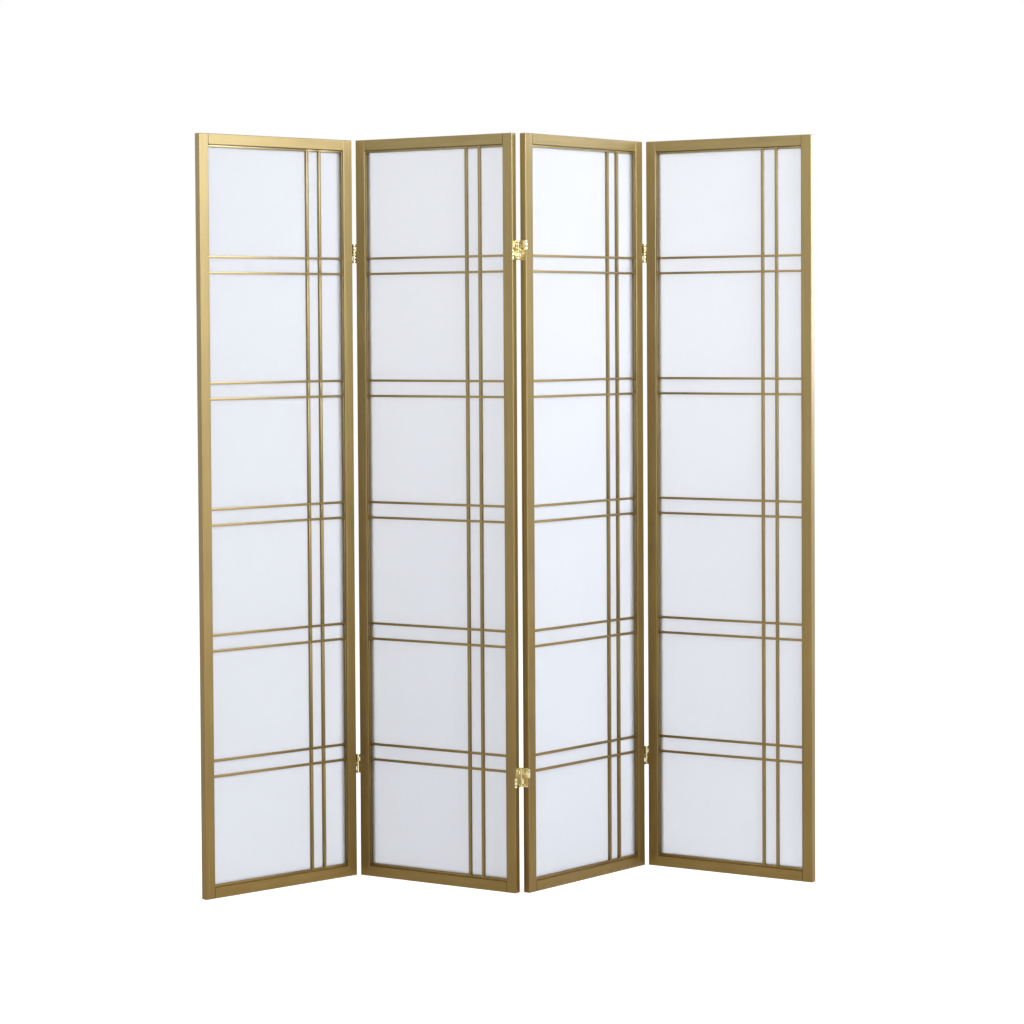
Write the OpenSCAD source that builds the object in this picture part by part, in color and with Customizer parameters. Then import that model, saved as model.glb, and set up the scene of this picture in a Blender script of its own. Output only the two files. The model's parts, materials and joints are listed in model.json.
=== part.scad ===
// Folding screen of four framed panels, each a paper sheet behind a lattice of thin strips,
// joined edge to edge by two-way brass hinges. It stands in a zigzag on the floor.
// A panel's own frame has x from its left edge to its right, y from front to back, z up.

/* [Panel frame] */
// Width of one panel
panel_w = 453; // [360:1:700]
// Height of the screen
panel_h = 1803; // [1200:1:2200]
// Thickness of the frame, front to back
panel_t = 18; // [16:0.5:28]
// Face width of the two stiles
stile_w = 27; // [22:0.5:45]
// Face height of the top and bottom rails
rail_h = 26; // [24:0.5:60]
// Radius of the eased edges of stiles and rails
edge_r = 1.8; // [0.4:0.1:2.5]

/* [Frame dowels] */
// Diameter of a dowel
dowel_d = 6; // [4:0.5:8]
// Length of a dowel, half in the rail and half in the stile
dowel_l = 36; // [20:1:40]
// Distance of a dowel's middle from the rail's nearer edge
dowel_edge = 7; // [5:0.5:8]
// Clearance all round a dowel
dowel_fit = 0.05; // [0.02:0.01:0.1]
// Spare depth of a dowel's hole past its end
dowel_spare = 1; // [0.2:0.1:2]

/* [Lattice] */
// Set-back of the lattice behind the front of the frame
recess = 3.5; // [1:0.5:5]
// Depth of the lattice strips, front to back
strip_t = 7.5; // [5:0.5:9]
// Face width of the battens under the top rail and over the bottom rail
cross_batten_w = 5.5; // [4:0.5:12]
// Face width of the battens beside the stiles
side_batten_w = 1.8; // [1.2:0.1:12]
// Face width of the two upright posts
post_w = 6.5; // [4:0.5:12]
// Face height of the level bars
bar_h = 5.5; // [4:0.5:12]
// Distance between the two strips of a pair, centre to centre
pair_pitch = 37.5; // [20:0.5:60]
// Distance of the outer post's middle from the right edge of the panel
post_inset = 96; // [60:1:160]
// Number of pairs of level bars
bar_pairs = 5; // [1:1:8]
// Hairline gap at each end of a cross batten or cross bead
joint_gap = 0.1; // [0.05:0.05:0.5]

/* [Paper] */
// Thickness of the paper
paper_t = 0.5; // [0.3:0.1:1]
// Gap between the paper's edge and the frame
paper_gap = 0.5; // [0.2:0.1:2]
// Face width of the beads that hold the paper from behind
bead_w = 6; // [4:0.5:12]
// Set-back of the beads from the back of the frame
bead_recess = 0.5; // [0.1:0.1:1.5]

/* [Hinges] */
// Height of one hinge
hinge_h = 46; // [36:1:80]
// Distance of a hinge's middle from the nearer end of the panel
hinge_inset = 276; // [60:1:500]
// Gap between two panels that stand in line
fold_gap = 6; // [5.4:0.1:9]
// Distance of the two pin axes outside the faces of the frame
axis_out = 3.2; // [2.6:0.1:5]
// Thickness of the hinge's sheet metal
sheet_t = 1.2; // [0.8:0.1:1.3]
// Height of each outer knuckle, which belongs to a leaf
knuckle_h = 6.5; // [4:0.5:7.5]
// Diameter of a hinge pin
pin_d = 2.8; // [2:0.1:3]
// Clearance all round a pin
pin_fit = 0.06; // [0.02:0.01:0.1]
// Clearance between pieces of a hinge that slide past each other
slide_gap = 0.3; // [0.2:0.05:0.6]
// Distance of a leaf's long edges from the faces of the frame
leaf_edge = 1.8; // [0.8:0.1:3]

/* [Hinge screws] */
// Diameter of a screw's shank
screw_d = 2.8; // [2:0.1:3.5]
// Diameter of a screw's head
head_d = 5; // [4:0.1:6]
// Length of a screw
screw_l = 14; // [8:0.5:18]
// Clearance round a screw
screw_fit = 0.05; // [0.02:0.01:0.1]
// Distance of a screw's middle from the leaf's end
screw_end = 6; // [4:0.5:8]
// Distance of a screw's middle from the leaf's long edge
screw_edge = 4.5; // [3.2:0.1:6]

/* [Standing pose] */
// Turn of the first panel away from the line across the screen
heading = 41.5; // [0:0.5:80]
// Fold between the first and second panels, towards the front
fold_1 = 74; // [0:0.5:178]
// Fold between the second and third panels, towards the back
fold_2 = 82.5; // [0:0.5:178]
// Fold between the third and fourth panels, towards the front
fold_3 = 82; // [0:0.5:178]

/* [Hidden] */
// Each panel's turn in the zigzag
turns = [heading, heading - fold_1, heading - fold_1 + fold_2, heading - fold_1 + fold_2 - fold_3];
last_panel = len(turns) - 1;
PANELS = [for (i = [0 : last_panel]) i];
FOLDS = [for (k = [0 : last_panel - 1]) k];
PANEL_PARTS = [
    "left_stile", "right_stile", "top_rail", "bottom_rail", "frame_dowels",
    "edge_battens", "lattice_posts", "lattice_bars", "paper", "back_beads",
    "hinge_leaves", "hinge_pins", "hinge_screws"
];
FOLD_PARTS = ["upper_links", "lower_links"];

GOLD = "#b39a5e";
BRASS = "#d9b45a";
PAPER = "#eef0f8";
WOOD = "#c9a878";
ROUND = 32;
// Length by which a cutting shape passes the face that it cuts
past = 1;

// Opening inside the frame
open_x = [stile_w, panel_w - stile_w];
open_z = [rail_h, panel_h - rail_h];
rail_l = open_x[1] - open_x[0];

// Levels through the thickness of a panel, from the front
lap_y = recess + strip_t / 2;
paper_y = recess + strip_t;
bead_y = paper_y + paper_t;
bead_back = panel_t - bead_recess;

// Middles of the upright posts and of the level bars, whose pairs leave equal cells
post_x = [panel_w - post_inset - pair_pitch, panel_w - post_inset];
open_h = open_z[1] - open_z[0];
cell_h = (open_h - 2 * cross_batten_w - bar_pairs * (pair_pitch + bar_h)) / (bar_pairs + 1);
first_bar_z = open_z[0] + cross_batten_w + cell_h + bar_h / 2;
bar_z = [
    for (pair = [0 : bar_pairs - 1], side = [0, 1])
        first_bar_z + pair * (cell_h + pair_pitch + bar_h) + side * pair_pitch
];

// Hinge sizes that follow from the gap between the panels
barrel_r = fold_gap / 2;
bore_r = pin_d / 2 + pin_fit;
half_h = hinge_h / 2;
front_axis = -axis_out;
back_axis = panel_t + axis_out;
hinge_z = [hinge_inset, panel_h - hinge_inset];
screw_places = [
    for (side = [-1, 1], row = [0, 1])
        [
            row == 0 ? leaf_edge + screw_edge : panel_t - leaf_edge - screw_edge,
            side * (row == 0 ? half_h - screw_end : screw_end)
        ]
];

// The axis that each fold turns on
fold_axis = [front_axis, back_axis, front_axis];

function turned(v, angle) = [
    v.x * cos(angle) - v.y * sin(angle),
    v.x * sin(angle) + v.y * cos(angle)
];

// Place of a panel's front left corner in the plan of the zigzag
function corner(i) =
    i == 0
        ? [0, 0]
        : corner(i - 1) + turned([panel_w + fold_gap / 2, fold_axis[i - 1]], turns[i - 1])
            - turned([-fold_gap / 2, fold_axis[i - 1]], turns[i]);

function on_panel(i, v) = corner(i) + turned(v, turns[i]);

// Every round end that can bound the plan, as its middle and radius
round_ends = concat(
    [
        for (i = PANELS, x = [edge_r, panel_w - edge_r], y = [edge_r, panel_t - edge_r])
            [on_panel(i, [x, y]), edge_r]
    ],
    [
        for (i = FOLDS, y = [front_axis, back_axis])
            [on_panel(i, [panel_w + fold_gap / 2, y]), barrel_r]
    ],
    [
        for (i = FOLDS, y = [front_axis, back_axis])
            [on_panel(i + 1, [-fold_gap / 2, y]), barrel_r]
    ]
);
plan_low = [for (k = [0, 1]) min([for (e = round_ends) e[0][k] - e[1]])];
plan_high = [for (k = [0, 1]) max([for (e = round_ends) e[0][k] + e[1]])];
plan_middle = (plan_low + plan_high) / 2;

// Puts something drawn in a panel's own frame in its place in the zigzag
module at_panel(i)
    translate([corner(i).x - plan_middle.x, corner(i).y - plan_middle.y, 0])
        rotate([0, 0, turns[i]])
            children();

// Rectangle with round corners, from the origin
module eased_rect(w, h, r)
    union() {
        translate([r, 0]) square([w - 2 * r, h]);
        translate([0, r]) square([w, h - 2 * r]);
        for (x = [r, w - r], y = [r, h - r])
            translate([x, y]) circle(r, $fn = ROUND);
    }

// Length of wood along z with every edge eased
module eased_upright(w, t, h)
    intersection() {
        linear_extrude(h) eased_rect(w, t, edge_r);
        translate([0, t + past, 0])
            rotate([90, 0, 0])
                linear_extrude(t + 2 * past) eased_rect(w, h, edge_r);
        translate([-past, 0, 0])
            rotate([90, 0, 90])
                linear_extrude(w + 2 * past) eased_rect(t, h, edge_r);
    }

// Length of wood along x with its long edges eased and its ends cut square
module eased_level(l, t, h)
    rotate([90, 0, 90])
        linear_extrude(l) eased_rect(t, h, edge_r);

// Block between two corners
module block(low, high)
    translate(low) cube(high - low);

// Copies at the two dowels of each rail end, with x = 0 at the joint and x growing into the stile
module at_dowels(left, right)
    for (rail_z = [0, panel_h - rail_h], edge = [dowel_edge, rail_h - dowel_edge]) {
        if (left)
            translate([open_x[0], panel_t / 2, rail_z + edge]) mirror([1, 0, 0]) children();
        if (right)
            translate([open_x[1], panel_t / 2, rail_z + edge]) children();
    }

module dowel_hole()
    translate([-dowel_l / 2 - dowel_spare, 0, 0])
        rotate([0, 90, 0])
            cylinder(r = dowel_d / 2 + dowel_fit, h = dowel_l + 2 * dowel_spare, $fn = ROUND);

// Copies at the hinges on one edge of a panel, drawn as on a right edge, about the hinge's middle
module at_hinges(on_left_edge)
    for (z = hinge_z)
        translate([on_left_edge ? -fold_gap / 2 : panel_w + fold_gap / 2, 0, z])
            if (on_left_edge)
                rotate([0, 180, 0]) children();
            else
                children();

module at_screws()
    for (p = screw_places)
        translate([-fold_gap / 2, p.x, p.y]) children();

module pilot_holes(on_left_edge)
    at_hinges(on_left_edge)
        at_screws()
            rotate([0, -90, 0])
                cylinder(r = screw_d / 2 + screw_fit, h = screw_l - sheet_t + screw_fit, $fn = ROUND);

module left_stile(i)
    color(GOLD)
        at_panel(i)
            difference() {
                eased_upright(stile_w, panel_t, panel_h);
                at_dowels(true, false) dowel_hole();
                if (i > 0)
                    pilot_holes(true);
            }

module right_stile(i)
    color(GOLD)
        at_panel(i)
            difference() {
                translate([open_x[1], 0, 0]) eased_upright(stile_w, panel_t, panel_h);
                at_dowels(false, true) dowel_hole();
                if (i < last_panel)
                    pilot_holes(false);
            }

module rail(i, z)
    color(GOLD)
        at_panel(i)
            difference() {
                translate([open_x[0], 0, z]) eased_level(rail_l, panel_t, rail_h);
                at_dowels(true, true) dowel_hole();
            }

module frame_dowels(i)
    color(WOOD)
        at_panel(i)
            at_dowels(true, true)
                translate([-dowel_l / 2, 0, 0])
                    rotate([0, 90, 0])
                        cylinder(d = dowel_d, h = dowel_l, $fn = ROUND);

// Room that the level bars take out of the strips they cross
module bar_laps()
    for (z = bar_z)
        block([0, recess - past, z - bar_h / 2], [panel_w, lap_y, z + bar_h / 2]);

// Room that the posts take out of the battens above and below
module post_laps()
    for (x = post_x)
        block([x - post_w / 2, recess - past, 0], [x + post_w / 2, lap_y, panel_h]);

module edge_battens(i)
    color(GOLD)
        at_panel(i) {
            difference() {
                for (x = [open_x[0], open_x[1] - side_batten_w])
                    block([x, recess, open_z[0]], [x + side_batten_w, paper_y, open_z[1]]);
                bar_laps();
            }
            difference() {
                for (z = [open_z[0], open_z[1] - cross_batten_w])
                    block(
                        [open_x[0] + side_batten_w + joint_gap, recess, z],
                        [open_x[1] - side_batten_w - joint_gap, paper_y, z + cross_batten_w]
                    );
                post_laps();
            }
        }

module lattice_posts(i)
    color(GOLD)
        at_panel(i)
            difference() {
                for (x = post_x)
                    block([x - post_w / 2, recess, open_z[0]], [x + post_w / 2, paper_y, open_z[1]]);
                bar_laps();
                for (z = [open_z[0] - past, open_z[1] - cross_batten_w])
                    block([0, lap_y, z], [panel_w, paper_y + past, z + cross_batten_w + past]);
            }

module lattice_bars(i)
    color(GOLD)
        at_panel(i)
            difference() {
                for (z = bar_z)
                    block(
                        [open_x[0], recess, z - bar_h / 2],
                        [open_x[1], paper_y, z + bar_h / 2]
                    );
                for (x = post_x)
                    block([x - post_w / 2, lap_y, 0], [x + post_w / 2, paper_y + past, panel_h]);
                for (x = [open_x[0] - past, open_x[1] - side_batten_w])
                    block([x, lap_y, 0], [x + side_batten_w + past, paper_y + past, panel_h]);
            }

module paper(i)
    color(PAPER)
        at_panel(i)
            block(
                [open_x[0] + paper_gap, paper_y, open_z[0] + paper_gap],
                [open_x[1] - paper_gap, bead_y, open_z[1] - paper_gap]
            );

module back_beads(i)
    color(GOLD)
        at_panel(i) {
            for (x = [open_x[0], open_x[1] - bead_w])
                block([x, bead_y, open_z[0]], [x + bead_w, bead_back, open_z[1]]);
            for (z = [open_z[0], open_z[1] - bead_w])
                block(
                    [open_x[0] + bead_w + joint_gap, bead_y, z],
                    [open_x[1] - bead_w - joint_gap, bead_back, z + bead_w]
                );
        }

// Barrel of one knuckle on an axis at depth y, between two heights
module knuckle(y, low, high)
    translate([0, y, low]) cylinder(r = barrel_r, h = high - low, $fn = ROUND);

module pin_bore(y)
    translate([0, y, -hinge_h]) cylinder(r = bore_r, h = 2 * hinge_h, $fn = ROUND);

// Outer knuckles of one half of a leaf, with the straps that join them to the sheet
module leaf_knuckles(y, low, high) {
    strap_y = y < 0 ? [y, leaf_edge] : [panel_t - leaf_edge, y];
    for (z = [low, high - knuckle_h]) {
        knuckle(y, z, z + knuckle_h);
        block([-barrel_r, strap_y[0], z], [-barrel_r + sheet_t, strap_y[1], z + knuckle_h]);
    }
}

// Leaf on a right edge: its lower half turns on the front axis, its upper half on the back axis
module leaf()
    difference() {
        union() {
            block([-barrel_r, leaf_edge, -half_h], [-barrel_r + sheet_t, panel_t - leaf_edge, half_h]);
            leaf_knuckles(front_axis, -half_h, -slide_gap / 2);
            leaf_knuckles(back_axis, slide_gap / 2, half_h);
        }
        pin_bore(front_axis);
        pin_bore(back_axis);
        at_screws()
            translate([-past, 0, 0])
                rotate([0, 90, 0])
                    cylinder(r = screw_d / 2 + screw_fit, h = sheet_t + 2 * past, $fn = ROUND);
        at_screws()
            rotate([0, 90, 0])
                cylinder(
                    r1 = screw_d / 2 + screw_fit,
                    r2 = head_d / 2 + screw_fit,
                    h = sheet_t,
                    $fn = ROUND
                );
    }

// Flat link of the upper half, with a middle knuckle on each axis
module link() {
    knuckle_low = slide_gap / 2 + knuckle_h + slide_gap;
    knuckle_high = half_h - knuckle_h - slide_gap;
    difference() {
        union() {
            for (y = [front_axis, back_axis])
                knuckle(y, knuckle_low, knuckle_high);
            block([-sheet_t / 2, front_axis, knuckle_low], [sheet_t / 2, back_axis, knuckle_high]);
            block(
                [-sheet_t / 2, front_axis + barrel_r + slide_gap, slide_gap / 2],
                [sheet_t / 2, back_axis - barrel_r - slide_gap, half_h]
            );
        }
        pin_bore(front_axis);
        pin_bore(back_axis);
    }
}

// Pins that stay in a leaf's own knuckles
module leaf_pins() {
    translate([0, front_axis, -half_h]) cylinder(d = pin_d, h = half_h - slide_gap / 2, $fn = ROUND);
    translate([0, back_axis, slide_gap / 2]) cylinder(d = pin_d, h = half_h - slide_gap / 2, $fn = ROUND);
}

// Countersunk wood screw through the leaf, pointed at its end
module screw() {
    point_l = screw_d;
    rotate([0, 90, 0]) cylinder(d1 = screw_d, d2 = head_d, h = sheet_t, $fn = ROUND);
    rotate([0, -90, 0]) cylinder(d = screw_d, h = screw_l - sheet_t - point_l, $fn = ROUND);
    translate([-(screw_l - sheet_t - point_l), 0, 0])
        rotate([0, -90, 0])
            cylinder(d1 = screw_d, d2 = 0, h = point_l, $fn = ROUND);
}

// Copies on the hinged edges of a panel
module at_hinged_edges(i) {
    if (i > 0)
        at_hinges(true) children();
    if (i < last_panel)
        at_hinges(false) children();
}

module hinge_leaves(i)
    color(BRASS) at_panel(i) at_hinged_edges(i) leaf();

module hinge_pins(i)
    color(BRASS) at_panel(i) at_hinged_edges(i) leaf_pins();

module hinge_screws(i)
    color(BRASS) at_panel(i) at_hinged_edges(i) at_screws() screw();

// On a fold to the front the upper link stays with the left panel, on one to the back with the right
module upper_links(k)
    color(BRASS)
        if (fold_axis[k] < 0)
            at_panel(k) at_hinges(false) link();
        else
            at_panel(k + 1) at_hinges(true) rotate([0, 180, 0]) link();

// The lower link is the upper one turned over, and stays with the other panel
module lower_links(k)
    color(BRASS)
        if (fold_axis[k] < 0)
            at_panel(k + 1) at_hinges(true) link();
        else
            at_panel(k) at_hinges(false) rotate([0, 180, 0]) link();

for (i = PANELS) {
    left_stile(i);
    right_stile(i);
    rail(i, panel_h - rail_h);
    rail(i, 0);
    frame_dowels(i);
    edge_battens(i);
    lattice_posts(i);
    lattice_bars(i);
    paper(i);
    back_beads(i);
    hinge_leaves(i);
    hinge_pins(i);
    hinge_screws(i);
}

for (k = FOLDS) {
    upper_links(k);
    lower_links(k);
}
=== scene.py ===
import json
import math

import bmesh
import bpy
from mathutils import Matrix, Vector


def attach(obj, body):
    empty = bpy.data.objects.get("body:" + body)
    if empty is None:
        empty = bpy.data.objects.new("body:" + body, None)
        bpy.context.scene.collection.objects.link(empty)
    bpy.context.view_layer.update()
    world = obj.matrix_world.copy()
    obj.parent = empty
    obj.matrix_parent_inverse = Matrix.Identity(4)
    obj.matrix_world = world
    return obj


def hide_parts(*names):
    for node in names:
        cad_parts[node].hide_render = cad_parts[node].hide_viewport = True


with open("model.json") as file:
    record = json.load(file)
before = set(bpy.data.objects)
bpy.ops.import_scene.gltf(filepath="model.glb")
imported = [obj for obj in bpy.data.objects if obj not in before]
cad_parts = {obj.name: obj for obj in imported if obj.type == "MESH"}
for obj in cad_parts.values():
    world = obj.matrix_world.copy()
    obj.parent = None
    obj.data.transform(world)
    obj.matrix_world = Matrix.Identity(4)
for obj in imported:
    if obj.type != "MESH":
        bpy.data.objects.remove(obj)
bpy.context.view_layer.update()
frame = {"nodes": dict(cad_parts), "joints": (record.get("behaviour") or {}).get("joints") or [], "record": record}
nodes = frame["nodes"]

MM = 0.001
PANELS = (1, 2, 3, 4)

# Sizes that the part's source holds too
PANEL_W = 453 * MM
PANEL_H = 1803 * MM
PANEL_T = 18 * MM
STILE_W = 27 * MM
RAIL_H = 26 * MM
FOLD_GAP = 6 * MM
AXIS_OUT = 3.2 * MM
HINGE_INSET = 276 * MM
HINGE_H = 46 * MM
SHEET_T = 1.2 * MM
LEAF_EDGE = 1.8 * MM
SCREW_D = 2.8 * MM
HEAD_D = 5 * MM
SCREW_L = 14 * MM
SCREW_END = 6 * MM
SCREW_EDGE = 4.5 * MM

# Turn of each panel in the zigzag, in degrees, and the joint beside it
TURNS = {1: 41.5, 2: -32.5, 3: 50.0, 4: -32.0}
JOINTS = {1: "fold_1_2", 2: "fold_1_2", 3: "fold_2_3", 4: "fold_3_4"}
BACK_FOLD = "fold_2_3"


def panel_frame(i):
    """Matrix that puts a panel's own frame into the row frame, from the joint beside it."""
    pins = {j["name"]: Vector(j["pos_m"]) for j in frame["joints"]}
    x = PANEL_W + FOLD_GAP / 2 if i == 1 else -FOLD_GAP / 2
    y = PANEL_T + AXIS_OUT if JOINTS[i] == BACK_FOLD else -AXIS_OUT
    turn = Matrix.Rotation(math.radians(TURNS[i]), 4, "Z")
    corner = pins[JOINTS[i]] - turn @ Vector((x, y, 0))
    corner.z = 0
    return Matrix.Translation(corner) @ turn


FRAMES = {i: panel_frame(i) for i in PANELS}


def hinge_frames(i):
    """Middles of the hinges on a panel's edges; on a left edge the hinge is turned over."""
    places = []
    for z in (HINGE_INSET, PANEL_H - HINGE_INSET):
        if i < PANELS[-1]:
            places.append(FRAMES[i] @ Matrix.Translation((PANEL_W + FOLD_GAP / 2, 0, z)))
        if i > PANELS[0]:
            here = Matrix.Translation((-FOLD_GAP / 2, 0, z))
            places.append(FRAMES[i] @ here @ Matrix.Rotation(math.pi, 4, "Y"))
    return places


# Materials

UNSCALED = (1, 1, 1)
WHITE = (1.0, 1.0, 1.0)


class Shader:
    """Node tree of one material, with short calls for the nodes that it uses."""

    def __init__(self, name):
        self.material = bpy.data.materials.new(name)
        self.material.use_nodes = True
        self.tree = self.material.node_tree
        self.tree.nodes.clear()
        self.surface = self.add("ShaderNodeBsdfPrincipled")
        out = self.add("ShaderNodeOutputMaterial")
        self.join(self.surface.outputs[0], out.inputs["Surface"])

    def add(self, kind, **values):
        """New node; a value is one of its settings, or else the default of an input."""
        node = self.tree.nodes.new(kind)
        for key, value in values.items():
            if hasattr(node, key):
                setattr(node, key, value)
            else:
                node.inputs[key.replace("_", " ").title()].default_value = value
        return node

    def join(self, source, target):
        self.tree.links.new(source, target)

    def give(self, name, value):
        """Sets an input of the surface to a value, or joins it to a socket."""
        if isinstance(value, bpy.types.NodeSocket):
            self.join(value, self.surface.inputs[name])
        else:
            self.surface.inputs[name].default_value = value

    def object_place(self):
        return self.add("ShaderNodeTexCoord").outputs["Object"]

    def panel_place(self, i, stretch=UNSCALED):
        """Coordinates in a panel's own frame, scaled along its three directions."""
        turn = self.add("ShaderNodeMapping", vector_type="TEXTURE")
        self.join(self.object_place(), turn.inputs["Vector"])
        turn.inputs["Location"].default_value = FRAMES[i].translation
        turn.inputs["Rotation"].default_value = (0, 0, math.radians(TURNS[i]))
        scale = self.add("ShaderNodeMapping", vector_type="POINT")
        self.join(turn.outputs[0], scale.inputs["Vector"])
        scale.inputs["Scale"].default_value = stretch
        return scale.outputs[0]

    def noise(self, place, scale=1.0, detail=4.0, roughness=0.55):
        node = self.add("ShaderNodeTexNoise", scale=scale, detail=detail, roughness=roughness)
        self.join(place, node.inputs["Vector"])
        return node.outputs["Fac"]

    def ramp(self, value, *stops):
        node = self.add("ShaderNodeValToRGB")
        self.join(value, node.inputs["Fac"])
        marks = node.color_ramp.elements
        while len(marks) < len(stops):
            marks.new(0.5)
        for mark, (position, colour) in zip(marks, stops):
            mark.position = position
            mark.color = (*colour, 1)
        return node.outputs["Color"]

    def span(self, value, low, high, source=(0.3, 0.7)):
        """Maps the source span of a value to low and high; the default is a noise's usual span."""
        node = self.add("ShaderNodeMapRange")
        self.join(value, node.inputs["Value"])
        node.inputs["From Min"].default_value = source[0]
        node.inputs["From Max"].default_value = source[1]
        node.inputs["To Min"].default_value = low
        node.inputs["To Max"].default_value = high
        return node.outputs[0]

    def mix(self, factor, first, second, blend="MIX"):
        node = self.add("ShaderNodeMix", data_type="RGBA", blend_type=blend)
        for socket, value in zip((node.inputs[0], node.inputs[6], node.inputs[7]),
                                 (factor, first, second)):
            if isinstance(value, bpy.types.NodeSocket):
                self.join(value, socket)
            else:
                socket.default_value = value if isinstance(value, float) else (*value, 1)
        return node.outputs[2]

    def calculate(self, operation, first, second):
        node = self.add("ShaderNodeMath", operation=operation)
        for socket, value in zip(node.inputs, (first, second)):
            if isinstance(value, float):
                socket.default_value = value
            else:
                self.join(value, socket)
        return node.outputs[0]

    def bumps(self, *layers):
        """Bumps laid over each other, each a height, its strength and its distance."""
        normal = None
        for height, strength, distance in layers:
            node = self.add("ShaderNodeBump", strength=strength, distance=distance)
            self.join(height, node.inputs["Height"])
            if normal:
                self.join(normal, node.inputs["Normal"])
            normal = node.outputs[0]
        self.join(normal, self.surface.inputs["Normal"])


# A grain is given by its cells in a metre. A bump is given by its strength and its depth.
GOLD_DARK = (0.195, 0.128, 0.027)
GOLD_MID = (0.271, 0.188, 0.045)
GOLD_LIGHT = (0.370, 0.279, 0.086)
GOLD_STREAKS = ((0.30, GOLD_DARK), (0.52, GOLD_MID), (0.75, GOLD_LIGHT))
GOLD_STREAK_SHARE = 0.6
GOLD_CLOUD_SHARE = 0.35
GOLD_METALLIC = 0.85
GOLD_ROUGHNESS = (0.43, 0.52)
GOLD_COAT_ROUGHNESS = 0.38
GOLD_COAT_IOR = 1.64
BRUSHED_ALONG = 4.0
BRUSHED_ACROSS = 160.0
PORES_PER_STREAK = 4
GOLD_CLOUDS = 5.0
STREAK_BUMP = (0.15, 0.4 * MM)
PORE_BUMP = (0.08, 0.2 * MM)
# Painted shade toward the foot: the paint is darker and browner there, standing in for the light
# that falls off downward. Its clear coat is also thinner toward the foot
FOOT_PAINTED_SHADE = (0.66, 0.57, 0.44)
FOOT_COAT = 0.25
# Painted shade in the line between frame and battens, where the frame's recess casts its shadow,
# beside the stiles (X) and the top rail (Z), and the reach of that shade, measured inward
# from the frame's inner edges
CREVICE_PAINTED_SHADES = {"X": 0.5, "Z": 0.22}
FRAME_CREVICE = (-0.1 * MM, -0.6 * MM)
BATTEN_CREVICE = (0.9 * MM, 2.1 * MM)


def painted_crevice_shade(shader, split, axes, reach):
    """Painted shade of the frame's recess, darkening the paint close to the frame's inner edges."""
    shade = 1.0
    for axis in axes:
        high = {"X": PANEL_W - STILE_W, "Z": PANEL_H - RAIL_H}[axis]
        inward = shader.calculate("SUBTRACT", high, split.outputs[axis])
        if axis == "X":
            left = shader.calculate("SUBTRACT", split.outputs[axis], STILE_W)
            inward = shader.calculate("MINIMUM", inward, left)
        line = shader.span(inward, CREVICE_PAINTED_SHADES[axis], 1.0, reach)
        shade = shader.calculate("MULTIPLY", shade, line)
    return shade


def gold_paint(i, name, upright, crevice_axes="", reach=None):
    """Satin gold paint brushed along a member over fine wood grain, with painted shade toward the
    foot and, for the given axes, painted shade along the frame's inner edges.
    """
    shader = Shader(f"gold_{name}_{i}")
    across, along = BRUSHED_ACROSS, BRUSHED_ALONG
    stretch = (across, across, along) if upright else (along, across, across)
    pore_stretch = tuple(PORES_PER_STREAK * s for s in stretch)
    place = shader.panel_place(i)
    streaks = shader.noise(shader.panel_place(i, stretch), detail=6.0, roughness=0.6)
    pores = shader.noise(shader.panel_place(i, pore_stretch), detail=3.0)
    clouds = shader.noise(place, GOLD_CLOUDS, detail=3.0)
    even = shader.mix(GOLD_STREAK_SHARE, GOLD_MID, shader.ramp(streaks, *GOLD_STREAKS))
    fresh = shader.mix(shader.span(clouds, 0.0, GOLD_CLOUD_SHARE), even, GOLD_LIGHT)

    split = shader.add("ShaderNodeSeparateXYZ")
    shader.join(place, split.inputs[0])
    # Painted shade: the colour darkens toward the foot, standing in for the light falling off downward
    height = shader.span(split.outputs["Z"], 0.0, 1.0, (0.0, PANEL_H))
    foot_shade = shader.ramp(height, (0.0, FOOT_PAINTED_SHADE), (1.0, WHITE))
    colour = shader.mix(1.0, fresh, foot_shade, blend="MULTIPLY")
    # Painted shade along the frame's inner edges, standing in for the shadow of the recess
    if crevice_axes:
        shade = painted_crevice_shade(shader, split, crevice_axes, reach)
        colour = shader.mix(1.0, colour, shade, blend="MULTIPLY")

    shader.give("Base Color", colour)
    shader.give("Metallic", GOLD_METALLIC)
    shader.give("Roughness", shader.span(streaks, *GOLD_ROUGHNESS))
    shader.give("Coat Weight", shader.span(height, FOOT_COAT, 1.0, (0.0, 1.0)))
    shader.give("Coat Roughness", GOLD_COAT_ROUGHNESS)
    shader.give("Coat IOR", GOLD_COAT_IOR)
    shader.bumps((streaks, *STREAK_BUMP), (pores, *PORE_BUMP))
    return shader.material


PAPER_FIBRES = ((0.25, (0.710, 0.720, 0.746)), (0.75, (0.757, 0.768, 0.795)))
PAPER_CLOUD = (0.730, 0.738, 0.762)
PAPER_CLOUD_SHARE = 0.3
PAPER_ROUGHNESS = (0.75, 0.9)
PAPER_SPECULAR = 0.25
PAPER_TRANSMISSION = 0.75
PAPER_IOR = 1.3
FIBRE_STRETCH = (300, 300, 60)
SLACK_STRETCH = (1, 1, 0.6)
PAPER_SLACK = 7.0
PAPER_CLOUDS = 22.0
SLACK_BUMP = (0.25, 2 * MM)
FIBRE_BUMP = (0.15, 0.05 * MM)


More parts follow.
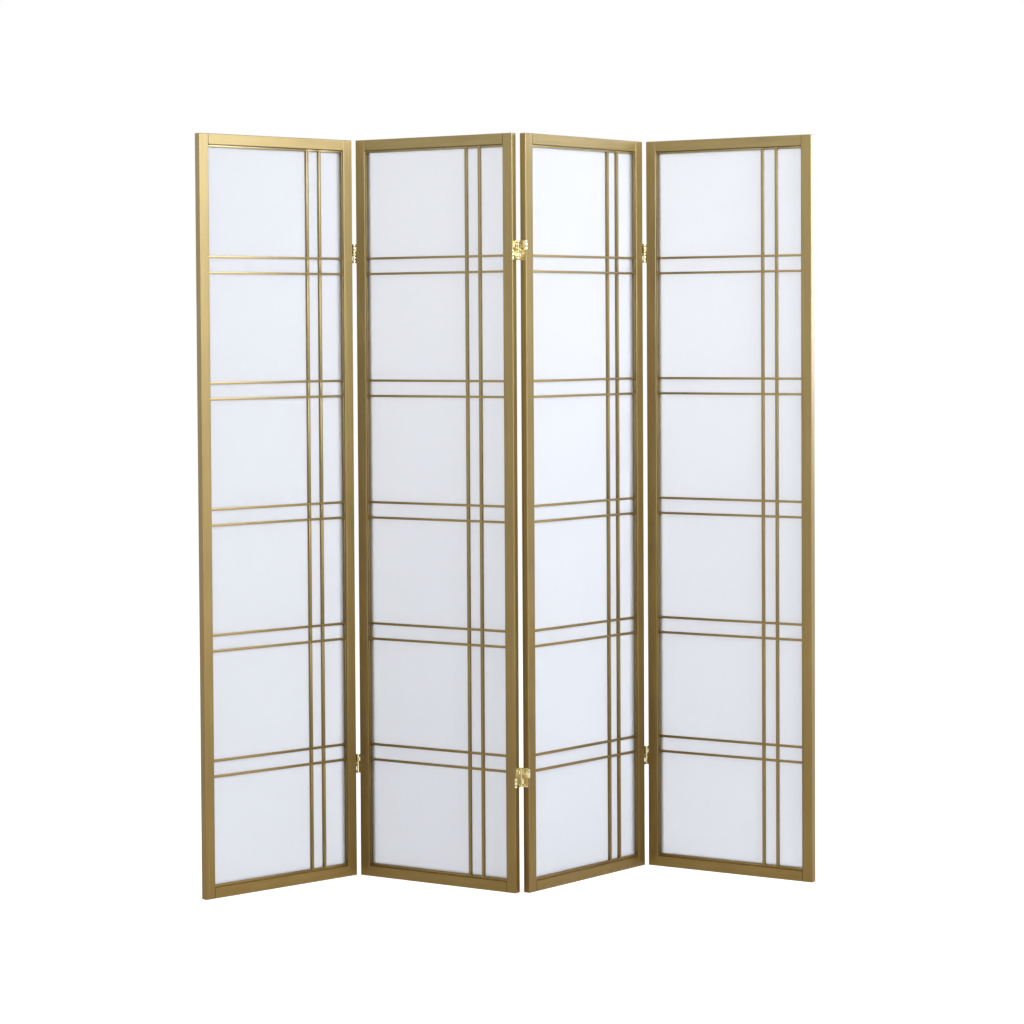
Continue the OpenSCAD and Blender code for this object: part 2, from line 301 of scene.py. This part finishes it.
def paper(i):
    """Matt white paper with faint fibres, taut on the lattice."""
    shader = Shader(f"paper_{i}")
    slack = shader.noise(shader.panel_place(i, SLACK_STRETCH), PAPER_SLACK, detail=2.0)
    fibres = shader.noise(shader.panel_place(i, FIBRE_STRETCH), detail=5.0, roughness=0.7)
    clouds = shader.noise(shader.panel_place(i), PAPER_CLOUDS)
    tone = shader.ramp(fibres, *PAPER_FIBRES)
    colour = shader.mix(shader.span(clouds, 0.0, PAPER_CLOUD_SHARE), tone, PAPER_CLOUD)
    shader.give("Base Color", colour)
    shader.give("Roughness", shader.span(fibres, *PAPER_ROUGHNESS))
    shader.give("Specular IOR Level", PAPER_SPECULAR)
    shader.give("Transmission Weight", PAPER_TRANSMISSION)
    shader.give("IOR", PAPER_IOR)
    shader.bumps((slack, *SLACK_BUMP), (fibres, *FIBRE_BUMP))
    return shader.material


BRASS_TARNISH = ((0.3, (0.42, 0.32, 0.12)), (0.7, (0.82, 0.76, 0.50)))
BRASS_ROUGHNESS = (0.15, 0.26)
TARNISH_CELLS = 90.0
SCRATCH_CELLS = 1400.0
SCRATCH_BUMP = (0.08, 0.05 * MM)


def brass():
    """Polished brass with fine scratches and slight tarnish."""
    shader = Shader("brass")
    place = shader.object_place()
    tarnish = shader.noise(place, TARNISH_CELLS)
    scratches = shader.noise(place, SCRATCH_CELLS, detail=6.0, roughness=0.7)
    shader.give("Base Color", shader.ramp(tarnish, *BRASS_TARNISH))
    shader.give("Metallic", 1.0)
    shader.give("Roughness", shader.span(tarnish, *BRASS_ROUGHNESS))
    shader.bumps((scratches, *SCRATCH_BUMP))
    return shader.material


WOOD_GRAIN = ((0.3, (0.48, 0.31, 0.16)), (0.7, (0.66, 0.47, 0.27)))
WOOD_ROUGHNESS = (0.55, 0.75)
WOOD_CELLS = 300.0
WOOD_BUMP = (0.2, 0.1 * MM)


def bare_wood():
    """Plain turned hardwood of the hidden dowels."""
    shader = Shader("bare_wood")
    grain = shader.noise(shader.object_place(), WOOD_CELLS, detail=5.0)
    shader.give("Base Color", shader.ramp(grain, *WOOD_GRAIN))
    shader.give("Roughness", shader.span(grain, *WOOD_ROUGHNESS))
    shader.bumps((grain, *WOOD_BUMP))
    return shader.material


def coat(obj, material):
    """Gives an object one material in place of those it has."""
    obj.data.materials.clear()
    obj.data.materials.append(material)


# Pieces

SHARP_ANGLE = math.radians(35)
FLAT_ANGLE = math.radians(1)
WELD = 0.002 * MM
# Width of the rounding on the edges of strips, of a hinge's sheet metal and of its pins
STRIP_EDGE = 0.35 * MM
SHEET_EDGE = 0.15 * MM
PIN_EDGE = 0.3 * MM
EDGE_SEGMENTS = 2


def add_piece(work, mesh, body, node, material):
    """Writes a BMesh to a mesh and adds it as the piece that takes a CAD node's place."""
    work.to_mesh(mesh)
    work.free()
    mesh.shade_smooth()
    mesh.set_sharp_from_angle(angle=SHARP_ANGLE)
    piece = bpy.data.objects.new(mesh.name, mesh)
    bpy.context.scene.collection.objects.link(piece)
    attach(piece, body)
    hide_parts(node)
    coat(piece, material)


def ease_node(node, body, width, material):
    """Puts a copy of a CAD node, with its sharp edges rounded, in the node's place."""
    mesh = nodes[node].data.copy()
    mesh.name = f"{node}_eased"
    work = bmesh.new()
    work.from_mesh(mesh)
    bmesh.ops.remove_doubles(work, verts=work.verts, dist=WELD)
    bmesh.ops.dissolve_limit(
        work, angle_limit=FLAT_ANGLE, verts=work.verts, edges=work.edges)
    sharp = [e for e in work.edges if e.is_manifold and e.calc_face_angle() > SHARP_ANGLE]
    bmesh.ops.bevel(
        work, geom=sharp, offset=width, segments=EDGE_SEGMENTS, profile=0.5,
        affect="EDGES", clamp_overlap=True)
    add_piece(work, mesh, body, node, material)


SCREW_SIDES = 24
# Narrowing and depth of the rounded rim of a screw's head
RIM_SHARE = 0.97
RIM_DEPTH = 0.06 * MM


def make_mesh(name, work):
    """Mesh of a closed BMesh, with its faces turned outward."""
    bmesh.ops.recalc_face_normals(work, faces=work.faces)
    mesh = bpy.data.meshes.new(name)
    work.to_mesh(mesh)
    work.free()
    return mesh


def screw_mesh():
    """One countersunk screw along -x from the leaf's inner face, with a plain head."""
    head_r, shank_r = HEAD_D / 2, SCREW_D / 2
    tip = -(SCREW_L - SHEET_T)
    profile = [
        (SHEET_T, 0.0), (SHEET_T, head_r * RIM_SHARE), (SHEET_T - RIM_DEPTH, head_r),
        (0.0, shank_r), (tip + SCREW_D, shank_r), (tip, 0.0),
    ]
    work = bmesh.new()
    rings = []
    for x, r in profile:
        angles = [math.tau * k / SCREW_SIDES for k in range(SCREW_SIDES if r else 1)]
        rings.append([work.verts.new((x, r * math.cos(a), r * math.sin(a))) for a in angles])
    for low, high in zip(rings, rings[1:]):
        for k in range(SCREW_SIDES):
            corners = [low[k % len(low)], low[(k + 1) % len(low)],
                       high[(k + 1) % len(high)], high[k % len(high)]]
            work.faces.new(list(dict.fromkeys(corners)))
    return make_mesh("screw", work)


def cross_mesh():
    """Cutter for a screw's cross: two tapered wings that meet at a point in the head."""
    half_l, half_w, depth = 1.35 * MM, 0.27 * MM, 0.9 * MM
    top = SHEET_T + 0.1 * MM
    signs = ((-1, -1), (1, -1), (1, 1), (-1, 1))
    work = bmesh.new()
    for quarter in (0, 1):
        turn = Matrix.Rotation(quarter * math.pi / 2, 4, "X")
        high, low = [
            [work.verts.new(turn @ Vector((x, y * reach, z * half_w))) for y, z in signs]
            for x, reach in ((top, half_l), (top - depth, half_w))]
        work.faces.new(high)
        work.faces.new(low[::-1])
        for k in range(4):
            work.faces.new((high[k], low[k], low[(k + 1) % 4], high[(k + 1) % 4]))
    return make_mesh("cross", work)


def cut_screw():
    """Screw mesh with the cross cut out of its head."""
    blank = bpy.data.objects.new("screw_blank", screw_mesh())
    cutter = bpy.data.objects.new("screw_cutter", cross_mesh())
    for obj in (blank, cutter):
        bpy.context.scene.collection.objects.link(obj)
    cut = blank.modifiers.new("cross", "BOOLEAN")
    cut.operation = "DIFFERENCE"
    cut.solver = "EXACT"
    cut.use_self = True
    cut.object = cutter
    seen = blank.evaluated_get(bpy.context.evaluated_depsgraph_get())
    mesh = bpy.data.meshes.new_from_object(seen)
    for obj in (blank, cutter):
        bpy.data.objects.remove(obj)
    return mesh


SCREW_PLACES = [
    (LEAF_EDGE + SCREW_EDGE, side * (HINGE_H / 2 - SCREW_END)) for side in (-1, 1)
] + [
    (PANEL_T - LEAF_EDGE - SCREW_EDGE, side * SCREW_END) for side in (-1, 1)
]
# Degrees between the crosses of one screw and the next, and from hinge to hinge and panel
# to panel
SCREW_STEP = 37
HINGE_STEP = 23
PANEL_STEP = 11


def dress_screws(i, pattern, material):
    """All the screws of one panel in one piece, each turned to its own angle."""
    work = bmesh.new()
    for n, hinge in enumerate(hinge_frames(i)):
        for k, (y, z) in enumerate(SCREW_PLACES):
            start = len(work.verts)
            work.from_mesh(pattern)
            work.verts.ensure_lookup_table()
            angle = math.radians(SCREW_STEP * k + HINGE_STEP * n + PANEL_STEP * i)
            place = Matrix.Translation((-FOLD_GAP / 2, y, z)) @ Matrix.Rotation(angle, 4, "X")
            bmesh.ops.transform(work, matrix=hinge @ place, verts=work.verts[start:])
    mesh = bpy.data.meshes.new(f"hinge_screws_{i}_cut")
    add_piece(work, mesh, f"panel_{i}", f"hinge_screws_{i}", material)


def dress_panel(i, metal, wood, screw):
    """Materials and eased pieces of one panel."""
    body = f"panel_{i}"
    # Stiles, top rail and battens get painted shade along the frame's inner edges
    stile = gold_paint(i, "stile", True, "X", FRAME_CREVICE)
    top_rail = gold_paint(i, "top_rail", False, "Z", FRAME_CREVICE)
    batten = gold_paint(i, "batten", True, "Z", BATTEN_CREVICE)
    post = gold_paint(i, "post", True)
    bar = gold_paint(i, "bar", False)
    for part, material in (
            ("left_stile", stile), ("right_stile", stile), ("top_rail", top_rail),
            ("bottom_rail", bar), ("frame_dowels", wood), ("paper", paper(i))):
        coat(nodes[f"{part}_{i}"], material)
    for part, width, material in (
            ("lattice_posts", STRIP_EDGE, post), ("lattice_bars", STRIP_EDGE, bar),
            ("edge_battens", STRIP_EDGE, batten), ("back_beads", STRIP_EDGE, post),
            ("hinge_leaves", SHEET_EDGE, metal), ("hinge_pins", PIN_EDGE, metal)):
        ease_node(f"{part}_{i}", body, width, material)
    dress_screws(i, screw, metal)


def dress_links(metal):
    """Eased links of the hinges, each on the body that the record gives it."""
    for body, names in frame["record"]["behaviour"]["bodies"].items():
        for name in names:
            if "_links_" in name:
                ease_node(name, body, SHEET_EDGE, metal)


# Stage

FLOOR_SIDE = 60
FLOOR_TONE = (0.5, 0.5, 0.5, 1)
FLOOR_GLOW = 0.8
WORLD_LIGHT = 0.45
WORLD_TINT = (0.97, 0.98, 1.0, 1)


def seen_rays(tree):
    """Socket that is 1 for rays from the camera, in gloss and through paper, and else 0."""
    path = tree.nodes.new("ShaderNodeLightPath")
    seen = path.outputs["Is Camera Ray"]
    for kind in ("Is Glossy Ray", "Is Transmission Ray"):
        either = tree.nodes.new("ShaderNodeMath")
        either.operation = "MAXIMUM"
        tree.links.new(seen, either.inputs[0])
        tree.links.new(path.outputs[kind], either.inputs[1])
        seen = either.outputs[0]
    return seen


def floor_material():
    """Pale floor that looks white to the camera and in gloss, and keeps the shadow."""
    shader = Shader("floor")
    glow = shader.calculate("MULTIPLY", seen_rays(shader.tree), FLOOR_GLOW)
    shader.give("Emission Strength", glow)
    shader.give("Emission Color", (*WHITE, 1))
    shader.give("Base Color", FLOOR_TONE)
    shader.give("Roughness", 1.0)
    shader.give("Specular IOR Level", 0.0)
    return shader.material


def make_floor():
    bpy.ops.mesh.primitive_plane_add(size=FLOOR_SIDE)
    floor = bpy.context.object
    floor.name = "floor"
    coat(floor, floor_material())


def make_world():
    """White background for the camera and reflections, and a soft even light for the rest."""
    world = bpy.data.worlds.new("studio")
    bpy.context.scene.world = world
    world.use_nodes = True
    tree = world.node_tree
    tree.nodes.clear()
    out = tree.nodes.new("ShaderNodeOutputWorld")
    white = tree.nodes.new("ShaderNodeBackground")
    white.inputs["Color"].default_value = (*WHITE, 1)
    light = tree.nodes.new("ShaderNodeBackground")
    light.inputs["Color"].default_value = WORLD_TINT
    light.inputs["Strength"].default_value = WORLD_LIGHT
    mix = tree.nodes.new("ShaderNodeMixShader")
    tree.links.new(seen_rays(tree), mix.inputs[0])
    tree.links.new(light.outputs[0], mix.inputs[1])
    tree.links.new(white.outputs[0], mix.inputs[2])
    tree.links.new(mix.outputs[0], out.inputs["Surface"])


COOL_WHITE = (0.89, 0.93, 1.0)
# Soft boxes, all aimed at one point: place, width, height, radiance and colour
BOX_AIM = Vector((0.0, 0.0, 1.1))
SOFT_BOXES = {
    "right_box": ((3.4, -0.9, 2.2), 1.3, 1.3, 2.0, COOL_WHITE),
    "key_box": ((3.65, -3.05, 2.5), 1.55, 1.55, 28.5, COOL_WHITE),
    "front_box": ((-1.6, -5.2, 3.0), 1.8, 1.8, 7.5, WHITE),
    "rim_box": ((3.0, 1.9, 1.8), 1.2, 1.4, 8.0, COOL_WHITE),
    "back_box": ((0.6, 5.0, 1.8), 3.0, 2.0, 1.05, WHITE),
}


def make_lights():
    for name, (place, width, height, radiance, colour) in SOFT_BOXES.items():
        lamp = bpy.data.lights.new(name, "AREA")
        lamp.shape = "RECTANGLE"
        lamp.size = width
        lamp.size_y = height
        lamp.energy = radiance * math.pi * width * height
        lamp.color = colour
        obj = bpy.data.objects.new(name, lamp)
        bpy.context.scene.collection.objects.link(obj)
        obj.visible_camera = False
        obj.location = place
        obj.rotation_mode = "QUATERNION"
        obj.rotation_quaternion = (BOX_AIM - Vector(place)).to_track_quat("-Z", "Y")


# Camera, fitted to the corners and lattice crossings of the photograph; angles in degrees
PHOTO_SIDE = 1024
CAMERA_PLACE = (9.8 * MM, -6828 * MM, 1337.7 * MM)
CAMERA_YAW = -0.044
CAMERA_PITCH = -2.06
CAMERA_ROLL = -0.327
FOCAL_PIXELS = 2824.8
SHIFT_PIXELS = -80
SENSOR = 36
CLIP_END = 100


def make_camera():
    data = bpy.data.cameras.new("camera")
    data.sensor_width = SENSOR
    data.lens = FOCAL_PIXELS / PHOTO_SIDE * SENSOR
    data.shift_y = SHIFT_PIXELS / PHOTO_SIDE
    data.clip_end = CLIP_END
    camera = bpy.data.objects.new("camera", data)
    bpy.context.scene.collection.objects.link(camera)
    camera.matrix_world = (
        Matrix.Translation(CAMERA_PLACE)
        @ Matrix.Rotation(math.radians(-CAMERA_YAW), 4, "Z")
        @ Matrix.Rotation(math.radians(90 + CAMERA_PITCH), 4, "X")
        @ Matrix.Rotation(math.radians(CAMERA_ROLL), 4, "Z")
    )
    bpy.context.scene.camera = camera


make_camera()
metal = brass()
wood = bare_wood()
screw = cut_screw()
for i in PANELS:
    dress_panel(i, metal, wood, screw)
dress_links(metal)
make_floor()
make_world()
make_lights()
bpy.context.scene.view_settings.view_transform = "Standard"
